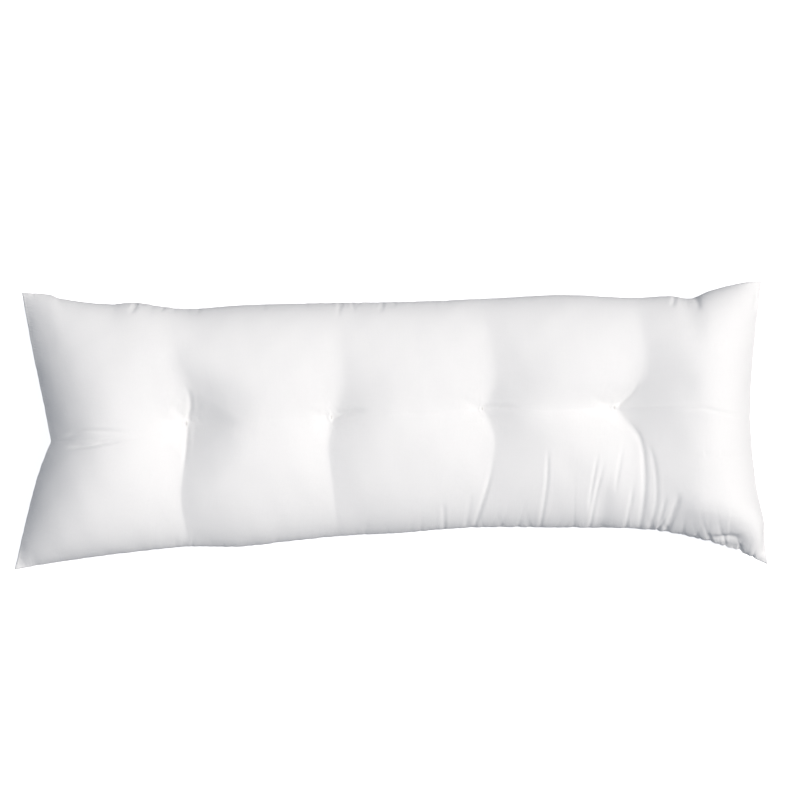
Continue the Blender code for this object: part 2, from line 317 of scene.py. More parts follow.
# Short puckers that run in from the far seam.
FAR_FOLDS = [
    Crease(0.0026, 0.0022, 0.0, 0.6, ((-0.441, 0.214), (-0.444, 0.203), (-0.452, 0.188))),
    Crease(0.0010, 0.0018, 0.0, 0.7, ((-0.392, 0.206), (-0.398, 0.195))),
    Crease(0.0012, 0.0018, 0.0, 0.7, ((-0.331, 0.205), (-0.336, 0.190))),
    Crease(0.0012, 0.0018, 0.0, 0.7, ((-0.218, 0.210), (-0.221, 0.196))),
    Crease(0.0011, 0.0022, 0.0, 0.7, ((-0.086, 0.213), (-0.090, 0.198), (-0.088, 0.182))),
    Crease(0.0012, 0.0018, 0.0, 0.7, ((-0.066, 0.213), (-0.064, 0.196))),
    Crease(0.0011, 0.0022, 0.0, 0.7, ((-0.014, 0.214), (-0.018, 0.200), (-0.024, 0.190))),
    Crease(0.0012, 0.0018, 0.0, 0.7, ((0.006, 0.215), (0.004, 0.202))),
    Crease(0.0018, 0.0020, 0.0, 0.6, ((0.491, 0.224), (0.487, 0.212), (0.484, 0.202))),
    Crease(0.0022, 0.0028, 0.0, 0.6, ((0.527, 0.222), (0.530, 0.208), (0.536, 0.196))),
    Crease(0.0016, 0.0020, 0.2, 0.5, ((0.636, 0.236), (0.631, 0.212), (0.628, 0.196))),
]
# The near corner at the right end: its full rim, the ridge out to its tip and the folds below them.
EAR_FOLDS = [
    Crease(
        -0.0070, 0.0160, 0.3, 0.3,
        ((0.480, -0.128), (0.540, -0.136), (0.600, -0.148), (0.640, -0.166)),
    ),
    Crease(
        -0.0075, 0.0090, 0.5, 0.45,
        ((0.627, -0.120), (0.630, -0.160), (0.635, -0.195), (0.641, -0.222)),
    ),
    Crease(
        0.0065, 0.0100, 0.4, 0.35,
        ((0.545, -0.186), (0.580, -0.199), (0.605, -0.209), (0.627, -0.221)),
    ),
    Crease(
        0.0036, 0.0028, 0.3, 0.4,
        ((0.536, -0.193), (0.566, -0.198), (0.594, -0.197), (0.612, -0.187)),
    ),
    Crease(0.0024, 0.0030, 0.3, 0.1, ((0.638, -0.165), (0.643, -0.195), (0.650, -0.226))),
]
CREASE_STEPS = 80
CREASE_ROUNDING = 0.35  # share of a crease's half width
CREASE_REACH = 5  # half widths
CREASE_SHOULDER = 0.16  # how far the cloth stands up beside a crease

GATHERS = [
    Gathers("far", -0.62, -0.36, 0.013, 0.0013, 0.016),
    Gathers("far", -0.36, -0.15, 0.026, 0.0007, 0.014),
    Gathers("far", -0.15, 0.10, 0.012, 0.0011, 0.014),
    Gathers("far", 0.10, 0.62, 0.024, 0.0007, 0.016),
    Gathers("near", -0.63, -0.36, 0.018, 0.0009, 0.018),
    Gathers("near", -0.36, 0.05, 0.012, 0.0011, 0.020),
    Gathers("near", 0.05, 0.46, 0.015, 0.0013, 0.024),
    Gathers("near", 0.46, 0.63, 0.0095, 0.0030, 0.026),
    Gathers("left", -0.23, 0.21, 0.020, 0.0009, 0.016),
    Gathers("right", -0.22, 0.23, 0.020, 0.0009, 0.016),
]
GATHER_HALF_WIDTH = 0.32  # share of their spacing
GATHER_FADE = 1.5
# The ranges that each gather's place, width and so on are drawn from, as shares of its row's values.
GATHER_SHIFTS = (-0.3, 0.3)
GATHER_WIDTHS = (0.7, 1.3)
GATHER_DEPTHS = (0.3, 1.4)
GATHER_LENGTHS = (0.6, 1.6)
GATHER_SLANTS = (-0.35, 0.35)  # distance along the seam for each step inward
GATHER_SPACINGS = (0.7, 1.4)

LUMP_WAVES = 14
LUMP_SHORTEST = 0.045
LUMP_LONGEST = 0.120
LUMP_CLEAR = 0.05  # how far in from a seam the lumps are full

GROOVE_DEPTH = 0.0010
GROOVE_GAP = 0.0004
GROOVE_LIMIT = 0.8  # share of the way to the next mesh line that the groove may take
ROLL_HEIGHT = 0.0006
ROLL_PLACE = 0.0035
ROLL_WIDTH = 0.0022
SEAM_WANDER = 0.0010  # how far the seam strays up and down
WANDER_REACH = 0.02
WANDER_ALONG = 0.011  # how finely it strays along the pillow
WANDER_ACROSS = 0.017
WANDER_TURN = 2
SEAM_CLEAR = 0.003  # how far in from the seam the creases have their full depth
SEAM_PULL_REACH = 0.014  # how far in the fine puckers of the finish reach
TIE_PULL_REACH = 0.022

STITCH_SIDES = 6
STITCH_FILL = 0.82  # share of its pitch that a stitch takes up
# How a tie lies, as shares of a strand's thickness.
STRAND_OFFSET = 0.5
TIE_RISE = 1.4
TIE_SINK = 0.8
TIE_FLATNESS = 4
PLIES = 3
PLY_DEPTH = 0.16  # share of the strand's radius
STRAND_STEPS = 28
STRAND_SIDES = 12
STRAND_TURNS = 2.2
HEADING_STEP = 0.01  # share of the strand before and after a place that gives its heading there

# How fine the cloth's patterns are across and along a thread or a seam, and their heights.
SLUB_FINE, SLUB_LONG, SLUB_HEIGHT = 900.0, 22.0, 0.00006
PUCKER_FINE, PUCKER_LONG, PUCKER_HEIGHT = 230.0, 40.0, 0.0012
CRUMPLE_FINE, CRUMPLE_HEIGHT = 42.0, 0.0004
TIE_CRUMPLE_FINE = 130.0
MOTTLE_FINE = 9.0
WEAVE_HEIGHT = 0.00005
# How much of the tone each pattern gives, and the tone without it. The weave's and the fibres' tones are painted
# shade: lighter where the threads stand proud, darker in the hollows between them.
MOTTLE_TONE = (0.030, 0.975)
SLUB_TONE = (0.025, 0.975)
WEAVE_PAINTED_SHADE = (0.05, 0.965)
FIBRE_PAINTED_SHADE = (0.16, 0.90)

WARM_KEY = (1.0, 0.955, 0.922)
COOL_FILL = (0.86, 0.905, 1.0)
KEY_PLACE = (1.2, 0.4, 2.0)
KEY_HEADING = (-0.545, -0.125, -0.83)
SIDE_PLACE = (2.0, 0.0, 0.4)
SIDE_HEADING = (-0.99, 0.0, -0.14)
SIDE_SOFTNESS = math.radians(40)
FILL_TURN = 0.15  # how far round the horizon the fill light goes over to what the floor gives back
FLOOR_SHARE = 0.6  # how strong the fill light is from below, where a pale floor would give it back
FLOOR_SIDE = 24.0
PHOTO_SCALE = 0.001724  # metres a pixel
PHOTO_MIDDLE = 400  # pixels, along and down
PILLOW_MIDDLE = (391, 425.5)  # where the pillow's middle lies in the photo
FRAME_MIDDLE = ((PHOTO_MIDDLE - PILLOW_MIDDLE[0]) * PHOTO_SCALE, (PILLOW_MIDDLE[1] - PHOTO_MIDDLE) * PHOTO_SCALE)


def slot_colour(name):
    """The colour that the record gives one of its material slots."""
    found = next(row for row in frame["record"]["materials"] if row["slot"] == name)
    return tuple(found["base_color"])


class PillowCoverSettings(bpy.types.PropertyGroup):
    """Sizes and finish of the filled cover."""

    upper_crown: bpy.props.FloatProperty(
        name="Upper crown", description="Height of the upper face above the seam", default=0.086, unit="LENGTH"
    )
    lower_crown: bpy.props.FloatProperty(
        name="Lower crown", description="Depth of the lower face below the seam", default=0.084, unit="LENGTH"
    )
    seam_height: bpy.props.FloatProperty(
        name="Seam height", description="Height of the edge seam above the floor", default=0.067, unit="LENGTH"
    )
    valley_rounding: bpy.props.FloatProperty(
        name="Valley rounding", description="Radius in the bottom of the valleys", default=0.002, unit="LENGTH"
    )
    crease_strength: bpy.props.FloatProperty(
        name="Crease strength", description="Share of their full depth that the creases have", default=1.0
    )
    gather_strength: bpy.props.FloatProperty(
        name="Gather strength", description="Share of their full depth that the gathers have", default=1.0
    )
    lump_height: bpy.props.FloatProperty(
        name="Lump height", description="How uneven the filling lies under the cloth", default=0.0003, unit="LENGTH"
    )
    gather_seed: bpy.props.IntProperty(
        name="Gather seed", description="Starting number for the places of gathers and lumps", default=7
    )
    cotton_colour: bpy.props.FloatVectorProperty(
        name="Cotton", description="Colour of the cover", default=slot_colour("cover_cotton"), subtype="COLOR"
    )
    thread_pitch: bpy.props.FloatProperty(
        name="Thread pitch", description="Distance between two threads of the weave", default=0.0005, unit="LENGTH"
    )


class SewingSettings(bpy.types.PropertyGroup):
    """Sizes and finish of the seam's stitches and of the ties."""

    seam_thread: bpy.props.FloatProperty(
        name="Seam thread", description="Thickness of the thread in the edge seam", default=0.0004, unit="LENGTH"
    )
    seam_stitch: bpy.props.FloatProperty(
        name="Seam stitch", description="Length of one stitch of the edge seam", default=0.0032, unit="LENGTH"
    )
    tie_strand: bpy.props.FloatProperty(
        name="Tie strand", description="Thickness of one strand of a tie", default=0.0012, unit="LENGTH"
    )
    tie_length: bpy.props.FloatProperty(
        name="Tie length", description="Length of a tie that shows on a face", default=0.008, unit="LENGTH"
    )
    thread_colour: bpy.props.FloatVectorProperty(
        name="Thread", description="Colour of the thread", default=slot_colour("tie_thread"), subtype="COLOR"
    )


class StageSettings(bpy.types.PropertyGroup):
    """Floor, lights and camera."""

    floor_colour: bpy.props.FloatVectorProperty(
        name="Floor", description="Colour of the floor", default=(0.93, 0.93, 0.93), subtype="COLOR"
    )
    floor_glow: bpy.props.FloatProperty(
        name="Floor glow", description="Light that the floor gives off, which thins out shadows", default=0.72
    )
    key_strength: bpy.props.FloatProperty(
        name="Key light", description="Strength of the soft light from the right", default=2.61
    )
    key_softness: bpy.props.FloatProperty(
        name="Key softness", description="Angle that the key light fills", default=math.radians(28), subtype="ANGLE"
    )
    side_strength: bpy.props.FloatProperty(
        name="Side light", description="Strength of the low light from the right", default=0.09
    )
    fill_strength: bpy.props.FloatProperty(
        name="Fill light", description="Strength of the even light from above", default=0.43
    )
    camera_height: bpy.props.FloatProperty(
        name="Camera height", description="Height of the camera above the floor", default=9.876, unit="LENGTH"
    )
    camera_lens: bpy.props.FloatProperty(
        name="Lens", description="Focal length of the camera", default=255.0, unit="CAMERA"
    )


def curve_through(stations, values, at):
    """The heights at an array of places of a smooth curve through a table's points."""
    x, y = np.array(stations, float), np.array(values, float)
    if x[0] > x[-1]:
        x, y = x[::-1], y[::-1]
    last = len(x) - 1
    before = np.clip(np.arange(len(x)) - 1, 0, last)
    after = np.clip(np.arange(len(x)) + 1, 0, last)
    slopes = (y[after] - y[before]) / (x[after] - x[before])
    k = np.clip(np.searchsorted(x, at, side="right") - 1, 0, last - 1)
    span = x[k + 1] - x[k]
    u = np.clip((at - x[k]) / span, 0.0, 1.0)
    start, end = slopes[k] * span, slopes[k + 1] * span
    step = y[k + 1] - y[k]
    bend = 3 * step - 2 * start - end
    return y[k] + u * (start + u * (bend + u * (start + end - 2 * step)))


def along_seam(points, at):
    return curve_through([p.along for p in points], [p.across for p in points], at)


def line_along(line, share):
    """How far along the pillow a cross line lies at shares of the half width. It may turn at the tie."""
    middle = LINE_SHARES.index(0.0)
    far = curve_through(LINE_SHARES[: middle + 1], line[: middle + 1], share)
    near = curve_through(LINE_SHARES[middle:], line[middle:], share)
    return np.where(share >= 0, far, near)


def swell(inward, roundness, steepness):
    """A share of the crown, from 0 at a seam to 1 where inward is 1."""
    return (1 - (1 - np.clip(inward, 0.0, 1.0)) ** roundness) ** steepness


def rounded_off(distance, rounding):
    """A distance without its sharp turn at nought."""
    return np.hypot(distance, rounding) - rounding


def drawn(away):
    """1 in the bottom of a crease and 0 where away is 1, steepest in the crease as in cloth drawn in."""
    return np.clip(1 - away, 0.0, None) ** 2


def eased(share):
    """0 to 1 without a sharp start or stop."""
    share = np.clip(share, 0.0, 1.0)
    return share * share * (3 - 2 * share)


def gathered(steps, gather):
    """Shares from 0 to 1 that lie closer together at both ends."""
    even = np.linspace(0, 1, steps + 1)
    return even - gather * np.sin(2 * np.pi * even) / (2 * np.pi)


class Cut(NamedTuple):
    """Where the mesh lines lie: a section and a part of it for each column, a share for each row."""

    section: np.ndarray
    part: np.ndarray
    share: np.ndarray


def cut_panel():
    section, part = [], []
    for k, row in enumerate(SECTIONS):
        stations = gathered(row.columns, row.gather)[:-1]
        section += [k] * len(stations)
        part += list(stations)
    section.append(len(SECTIONS) - 1)
    part.append(1.0)
    half = gathered(ROWS_PER_HALF, ROW_GATHER)
    return Cut(np.array(section), np.array(part), np.concatenate([-half[:0:-1], half])[:, None])


def plan(cut):
    """x and y of every point of the panel, rows by columns."""

    def blend(share):
        lines = np.array([line_along(line, share) for line in CROSS_LINES])
        left, right = lines[cut.section], lines[cut.section + 1]
        return (left * (1 - cut.part[:, None]) + right * cut.part[:, None]).T

    middle = along_seam(MIDDLE_LINE, blend(np.zeros(1)))
    far = along_seam(FAR_SEAM, blend(np.ones(1)))
    near = along_seam(NEAR_SEAM, blend(-np.ones(1)))
    edge = np.where(cut.share >= 0, far, near)
    return blend(cut.share[:, 0]), middle + (edge - middle) * np.abs(cut.share)


def section_value(column, cut):
    """A value of the sections' table, running evenly from the middle of one swell to the next."""
    values = np.array([getattr(row, column) for row in SECTIONS])
    beside = np.clip(cut.section + np.where(cut.part > 0.5, 1, -1), 0, len(SECTIONS) - 1)
    here, there = values[cut.section], values[beside]
    return here + (there - here) * np.abs(cut.part - 0.5)


def blended(before, after, at, turn):
    """Goes smoothly over from one value to the other while a place goes from -turn to turn."""
    return before + (after - before) * (0.5 + 0.5 * np.sin(np.pi / 2 * np.clip(at / turn, -1, 1)))


def left_by_tie(tuft, line, share, x, y, rounding):
    """The share of the crown that is left where one tie draws in its valley, its pointed dimple and its fan."""
    valley = blended(tuft.near_valley, tuft.far_valley, share, VALLEY_TURN)
    off_valley = x - line_along(line, share[:, 0])[:, None]
    along = rounded_off(off_valley, blended(rounding, FAR_VALLEY_ROUNDING, share, VALLEY_TURN))
    across_rounding = blended(DIMPLE_ROUNDING_LEFT, DIMPLE_ROUNDING_RIGHT, off_valley, DIMPLE_TURN)
    across = rounded_off(y - along_seam(MIDDLE_LINE, line.middle), across_rounding)
    reach = np.where(off_valley > 0, tuft.reach_right, tuft.reach_left)
    away = (along / reach) ** DIMPLE_POINT + (across / DIMPLE_REACH_ACROSS) ** DIMPLE_POINT
    away = away ** (1 / DIMPLE_POINT)
    fan_along = along / np.where(off_valley > 0, tuft.fan_reach, FAN_LEFT)
    fan = np.clip(1 - fan_along - across / FAN_ACROSS, 0.0, None) ** FAN_STEEPNESS
    valley_reach = np.where(off_valley > 0, VALLEY_REACH_RIGHT, VALLEY_REACH_LEFT)
    left = (1 - valley * drawn(along / valley_reach)) * (1 - tuft.pull * drawn(away))
    return left * (1 - tuft.fan * fan)


def crown_share(cut, x, y, rounding):
    """How far a face stands off the seam's level, as a share of the full crown."""
    near, far = section_value("near_fullness", cut), section_value("far_fullness", cut)
    fullness = blended(near, far, cut.share, 1.0)
    crown = swell(1 - np.abs(cut.share), ACROSS_ROUNDNESS, ACROSS_STEEPNESS) * fullness
    from_left = x - line_along(CROSS_LINES[0], cut.share[:, 0])[:, None]
    from_right = line_along(CROSS_LINES[-1], cut.share[:, 0])[:, None] - x
    crown = crown * swell(from_left / LEFT_END_REACH, END_ROUNDNESS, END_STEEPNESS)
    crown = crown * swell(from_right / RIGHT_END_REACH, END_ROUNDNESS, END_STEEPNESS)
    for tuft, line in zip(TUFTS, CROSS_LINES[1:-1]):
        crown = crown * left_by_tie(tuft, line, cut.share, x, y, rounding)
    off_middle = rounded_off(y - along_seam(MIDDLE_LINE, x), MIDDLE_ROUNDING)
    return crown * (1 - section_value("middle_dip", cut) * drawn(off_middle / MIDDLE_REACH))


def ear_droop(x, y):
    """How far the seam's level droops towards the ears."""
    along = np.clip(np.abs(x) / EAR_ALONG, 0, 1) ** EAR_POINT_ALONG
    return EAR_DROOP * along * np.clip(np.abs(y) / EAR_ACROSS, 0, 1) ** EAR_POINT_ACROSS


def rest_on_floor(z):
    """Flattens what would lie below the floor, and rounds the way into the flat."""
    turning = (z + CONTACT_ROUNDING) ** 2 / (4 * CONTACT_ROUNDING)
    return np.where(np.abs(z) < CONTACT_ROUNDING, turning, np.clip(z, 0, None))


def crease_depth(crease, x, y):
    """The depth of one crease at each point. Its two sides meet in a narrow bottom."""
    stations = np.linspace(0, 1, len(crease.places))
    steps = np.linspace(0, 1, CREASE_STEPS)
    line_x = curve_through(stations, [place[0] for place in crease.places], steps)
    line_y = curve_through(stations, [place[1] for place in crease.places], steps)
    margin = CREASE_REACH * crease.half_width
    near = (x > line_x.min() - margin) & (x < line_x.max() + margin)
    near &= (y > line_y.min() - margin) & (y < line_y.max() + margin)
    away = np.hypot(x[near][:, None] - line_x, y[near][:, None] - line_y)
    run = steps[away.argmin(axis=1)]
    off = rounded_off(away.min(axis=1), crease.half_width * CREASE_ROUNDING) / crease.half_width
    depth = crease.depth * np.exp(-off) * (1 + off) * (1 - CREASE_SHOULDER * off**2)
    if crease.fade_in:
        depth = depth * eased(run / crease.fade_in)
    if crease.fade_out:
        depth = depth * eased((1 - run) / crease.fade_out)
    spread = np.zeros_like(x)
    spread[near] = depth
    return spread


def gather_depth(x, y, from_seams, dice):
    """The depth of the puckers that the edge seam draws into a face."""
    depth = np.zeros_like(x)
    for row in GATHERS:
        along = x if row.seam in ("far", "near") else y
        inward = from_seams[row.seam]
        at = row.start
        while at < row.end:
            place = at + dice.uniform(*GATHER_SHIFTS) * row.spacing
            half_width = row.spacing * GATHER_HALF_WIDTH * dice.uniform(*GATHER_WIDTHS)
            deep = row.depth * dice.uniform(*GATHER_DEPTHS)
            length = row.length * dice.uniform(*GATHER_LENGTHS)
            slant = dice.uniform(*GATHER_SLANTS)
            off = (along - place - slant * inward) / half_width
            depth += deep * np.exp(-(off**2)) * np.exp(-((inward / length) ** GATHER_FADE))
            at += row.spacing * dice.uniform(*GATHER_SPACINGS)
    return depth


def lumps(x, y, dice):
    """The uneven lie of the filling, mostly from -1 to 1."""
    total = np.zeros_like(x)
    for _ in range(LUMP_WAVES):
        turn, phase = dice.uniform(0, math.pi), dice.uniform(0, 2 * math.pi)
        pitch = dice.uniform(LUMP_SHORTEST, LUMP_LONGEST) / (2 * math.pi)
        total += np.sin((x * math.cos(turn) + y * math.sin(turn)) / pitch + phase)
    return total / math.sqrt(LUMP_WAVES)


def run_of_cloth(places, axis):
    """The length of cloth from the panel's first line to each point, along one direction of the grid."""
    steps = np.linalg.norm(np.diff(places, axis=axis), axis=2)
    pad = [(1, 0), (0, 0)] if axis == 0 else [(0, 0), (1, 0)]
    return np.pad(np.cumsum(steps, axis=axis), pad)


def outward(places, face):
    """The direction straight out of the cloth at each point."""
    normal = np.cross(np.gradient(places, axis=1), np.gradient(places, axis=0)) * face
    return normal / np.linalg.norm(normal, axis=2, keepdims=True)


def close_border(places, gathers, face):
    """Draws the panel's border into the groove that the seam pulls, deeper where a gather meets it."""
    rows, columns = places.shape[:2]
    inner_row = np.clip(np.arange(rows), 1, rows - 2)
    inner_column = np.clip(np.arange(columns), 1, columns - 2)
    inward = (places[inner_row][:, inner_column] - places)[:, :, :2]
    length = np.linalg.norm(inward, axis=2)
    border = length > 0
    pull = np.minimum((GROOVE_DEPTH + gathers[border]) / length[border], GROOVE_LIMIT)
    places[border, :2] += inward[border] * pull[:, None]
    places[border, 2] -= face * (SEAM_THICKNESS / 2 - GROOVE_GAP)


class Panel(NamedTuple):
    """One panel of the cover in its filled shape, rows by columns."""

    places: np.ndarray  # x, y and z
    cloth: np.ndarray  # the same points on the flat cloth, in metres
    seam_pull: np.ndarray  # 1 at the long seams and 0 well away from them
    end_pull: np.ndarray  # the same for the end seams
    tie_pull: np.ndarray  # the same for the ties


def shape_panel(settings, face):
    """The upper panel where face is 1, the lower one where it is -1."""
    cut = cut_panel()
    x, y = plan(cut)
    crown = crown_share(cut, x, y, settings.valley_rounding)
    height = settings.upper_crown if face > 0 else settings.lower_crown
    level = settings.seam_height - ear_droop(x, y)
    places = np.stack([x, y, level + face * (SEAM_THICKNESS / 2 + height * crown)], axis=2)
    across, along = run_of_cloth(places, 0), run_of_cloth(places, 1)
    from_seams = {"near": across, "far": across[-1] - across, "left": along, "right": along[:, -1:] - along}
    from_seam = np.minimum.reduce(list(from_seams.values()))

    dice = random.Random(settings.gather_seed)
    gathers = gather_depth(x, y, from_seams, dice) * settings.gather_strength
    depth = gathers - settings.lump_height * lumps(x, y, dice) * eased(from_seam / LUMP_CLEAR)
    if face > 0:
        creases = NEAR_FOLDS + MIDDLE_CREASES + TIE_PULLS + FAR_FOLDS + EAR_FOLDS
        depth += settings.crease_strength * sum(crease_depth(crease, x, y) for crease in creases)
    depth -= ROLL_HEIGHT * np.exp(-(((from_seam - ROLL_PLACE) / ROLL_WIDTH) ** 2))
    places = places - outward(places, face) * (depth * eased(from_seam / SEAM_CLEAR))[:, :, None]
    wander = SEAM_WANDER * np.sin(x / WANDER_ALONG + WANDER_TURN * np.sin(y / WANDER_ACROSS))
    places[:, :, 2] += wander * np.exp(-from_seam / WANDER_REACH)
    if face < 0:
        places[:, :, 2] = rest_on_floor(places[:, :, 2])
    close_border(places, gathers, face)

    ties = [(line.middle, along_seam(MIDDLE_LINE, line.middle)) for line in CROSS_LINES[1:-1]]
    from_tie = np.minimum.reduce([np.hypot(x - tie_x, y - tie_y) for tie_x, tie_y in ties])
    seam_pull = np.exp(-np.minimum(from_seams["near"], from_seams["far"]) / SEAM_PULL_REACH)
    end_pull = np.exp(-np.minimum(from_seams["left"], from_seams["right"]) / SEAM_PULL_REACH)
    tie_pull = np.exp(-from_tie / TIE_PULL_REACH)
    return Panel(places, np.stack([along, across], axis=2), seam_pull, end_pull, tie_pull)


def grid_verts(bm, panel):
    """Lays a grid out in the panel's shape, and returns its vertices row by row."""
    rows, columns = panel.places.shape[:2]
    grid = bmesh.ops.create_grid(bm, x_segments=columns - 1, y_segments=rows - 1, size=1.0)
    verts = sorted(grid["verts"], key=lambda v: (round(v.co.y, 5), round(v.co.x, 5)))
    for vert, place in zip(verts, panel.places.reshape(-1, 3)):
        vert.co = place
    return verts


def border_edges(verts):
    return list({edge for vert in verts for edge in vert.link_edges if edge.is_boundary})


def finished(name, bm, material):
    """A smooth object from a bmesh, at the origin."""
    mesh = bpy.data.meshes.new(name)
    bm.to_mesh(mesh)
    bm.free()
    mesh.shade_smooth()
    mesh.materials.append(material)
    made = bpy.data.objects.new(name, mesh)
    bpy.context.scene.collection.objects.link(made)
    return made


def sew_cover(settings):
    """The two panels sewn together, with the flat cloth as their UV map."""
    bm = bmesh.new()
    panels = [shape_panel(settings, face) for face in (1, -1)]
    verts = [grid_verts(bm, panel) for panel in panels]
    bmesh.ops.bridge_loops(bm, edges=border_edges(verts[0]) + border_edges(verts[1]))
    bmesh.ops.recalc_face_normals(bm, faces=bm.faces)
    bm.verts.index_update()
    order = np.array([vert.index for side in verts for vert in side])
    made = finished("cotton_cover", bm, white_cotton(settings))

    mesh = made.data
    for name in ("seam_pull", "end_pull", "tie_pull"):
        values = np.empty(len(order))
        values[order] = np.concatenate([getattr(panel, name).ravel() for panel in panels])
        mesh.attributes.new(name, "FLOAT", "POINT").data.foreach_set("value", values)
    cloth = np.empty((len(order), 2))
    cloth[order] = np.concatenate([panel.cloth.reshape(-1, 2) for panel in panels])
    corners = np.empty(len(mesh.loops), np.int32)
    mesh.loops.foreach_get("vertex_index", corners)
    mesh.uv_layers.new(name="cloth").data.foreach_set("uv", cloth[corners].ravel())
    return made


def node(tree, kind, inputs, **choices):
    """A shader node, with each input set to a value or wired to another node's output."""
    made = tree.nodes.new(kind)
    for name, value in choices.items():
        setattr(made, name, value)
    for name, value in inputs.items():
        if isinstance(value, bpy.types.NodeSocket):
            tree.links.new(value, made.inputs[name])
        else:
            made.inputs[name].default_value = value
    return made


def sum_up(tree, operation, first, second=0.0, third=0.0):
    """The output of a math node."""
    return node(tree, "ShaderNodeMath", {0: first, 1: second, 2: third}, operation=operation).outputs[0]


def noise(tree, vector, scale, detail=2.0, roughness=0.5):
    inputs = {"Vector": vector, "Scale": scale, "Detail": detail, "Roughness": roughness}
    return node(tree, "ShaderNodeTexNoise", inputs).outputs[0]


def stretched(tree, vector, scale):
    """A pattern's coordinates, drawn out by a factor along each axis."""
    return node(tree, "ShaderNodeMapping", {"Vector": vector, "Scale": scale}).outputs[0]


def bump(tree, height, distance, below=None):
    inputs = {"Height": height, "Distance": distance, "Strength": 1.0}
    if below:
        inputs["Normal"] = below
    return node(tree, "ShaderNodeBump", inputs).outputs[0]


def new_finish(name):
    material = bpy.data.materials.new(name)
    material.use_nodes = True
    return material, material.node_tree, material.node_tree.nodes["Principled BSDF"]


def plain_weave(tree, cloth, pitch):
    """The height of a plain weave's threads, from 0 to 1: warp over weft on every other crossing."""
    place = node(tree, "ShaderNodeSeparateXYZ", {0: cloth})
    warp, weft = (sum_up(tree, "SINE", sum_up(tree, "MULTIPLY", place.outputs[k], math.pi / pitch)) for k in (0, 1))
    warp_over = sum_up(tree, "GREATER_THAN", sum_up(tree, "MULTIPLY", warp, weft), 0.0)
    warp_round, weft_round = sum_up(tree, "ABSOLUTE", warp), sum_up(tree, "ABSOLUTE", weft)
    warp_height = sum_up(tree, "MULTIPLY", warp_round, sum_up(tree, "MULTIPLY_ADD", weft_round, 0.5, 0.5))
    weft_height = sum_up(tree, "MULTIPLY", weft_round, sum_up(tree, "MULTIPLY_ADD", warp_round, 0.5, 0.5))
    inputs = {"Factor": warp_over, "A": weft_height, "B": warp_height}
    return node(tree, "ShaderNodeMix", inputs, data_type="FLOAT").outputs[0]


def white_cotton(settings):
    """Plain-woven cotton: threads with slubs, soft crumpling, and fine puckers where the sewing draws it in."""
    material, tree, shader = new_finish("white_cotton")
    cloth = node(tree, "ShaderNodeUVMap", {}, uv_map="cloth").outputs["UV"]
    space = node(tree, "ShaderNodeTexCoord", {}).outputs["Object"]
    seam_pull, end_pull, tie_pull = (
        node(tree, "ShaderNodeAttribute", {}, attribute_name=name).outputs["Fac"]
        for name in ("seam_pull", "end_pull", "tie_pull")
    )
    weave = plain_weave(tree, cloth, settings.thread_pitch)
    warp_slubs = noise(tree, stretched(tree, cloth, (SLUB_FINE, SLUB_LONG, 1.0)), 1.0)
    weft_slubs = noise(tree, stretched(tree, cloth, (SLUB_LONG, SLUB_FINE, 1.0)), 1.0)
    slubs = sum_up(tree, "ADD", warp_slubs, weft_slubs)
    along_seams = noise(tree, stretched(tree, cloth, (PUCKER_FINE, PUCKER_LONG, 1.0)), 1.0, detail=1.0)
    along_ends = noise(tree, stretched(tree, cloth, (PUCKER_LONG, PUCKER_FINE, 1.0)), 1.0, detail=1.0)
    crumple = noise(tree, space, CRUMPLE_FINE, detail=3.0, roughness=0.55)
    tie_crumple = noise(tree, space, TIE_CRUMPLE_FINE)

    seam_puckers = sum_up(tree, "MULTIPLY", along_seams, seam_pull)
    end_puckers = sum_up(tree, "MULTIPLY", along_ends, end_pull)
    tie_puckers = sum_up(tree, "MULTIPLY", tie_crumple, tie_pull)
    puckers = sum_up(tree, "ADD", sum_up(tree, "ADD", seam_puckers, end_puckers), tie_puckers)
    normal = bump(tree, crumple, CRUMPLE_HEIGHT)
    normal = bump(tree, puckers, PUCKER_HEIGHT, normal)
    normal = bump(tree, slubs, SLUB_HEIGHT, normal)
    normal = bump(tree, weave, WEAVE_HEIGHT, normal)

    mottle = noise(tree, space, MOTTLE_FINE, detail=4.0, roughness=0.6)
    tone = sum_up(tree, "MULTIPLY_ADD", mottle, *MOTTLE_TONE)
    tone = sum_up(tree, "MULTIPLY", tone, sum_up(tree, "MULTIPLY_ADD", slubs, *SLUB_TONE))
    # painted shade: the weave's threads are lighter on top and darker where they dip under each other
    tone = sum_up(tree, "MULTIPLY", tone, sum_up(tree, "MULTIPLY_ADD", weave, *WEAVE_PAINTED_SHADE))
    colour = node(tree, "ShaderNodeVectorMath", {0: settings.cotton_colour, "Scale": tone}, operation="SCALE")
    tree.links.new(colour.outputs[0], shader.inputs["Base Color"])
    tree.links.new(normal, shader.inputs["Normal"])
    shader.inputs["Roughness"].default_value = 0.85
    shader.inputs["Specular IOR Level"].default_value = 0.25
    shader.inputs["Sheen Weight"].default_value = 0.08
    shader.inputs["Sheen Roughness"].default_value = 0.5
    return material


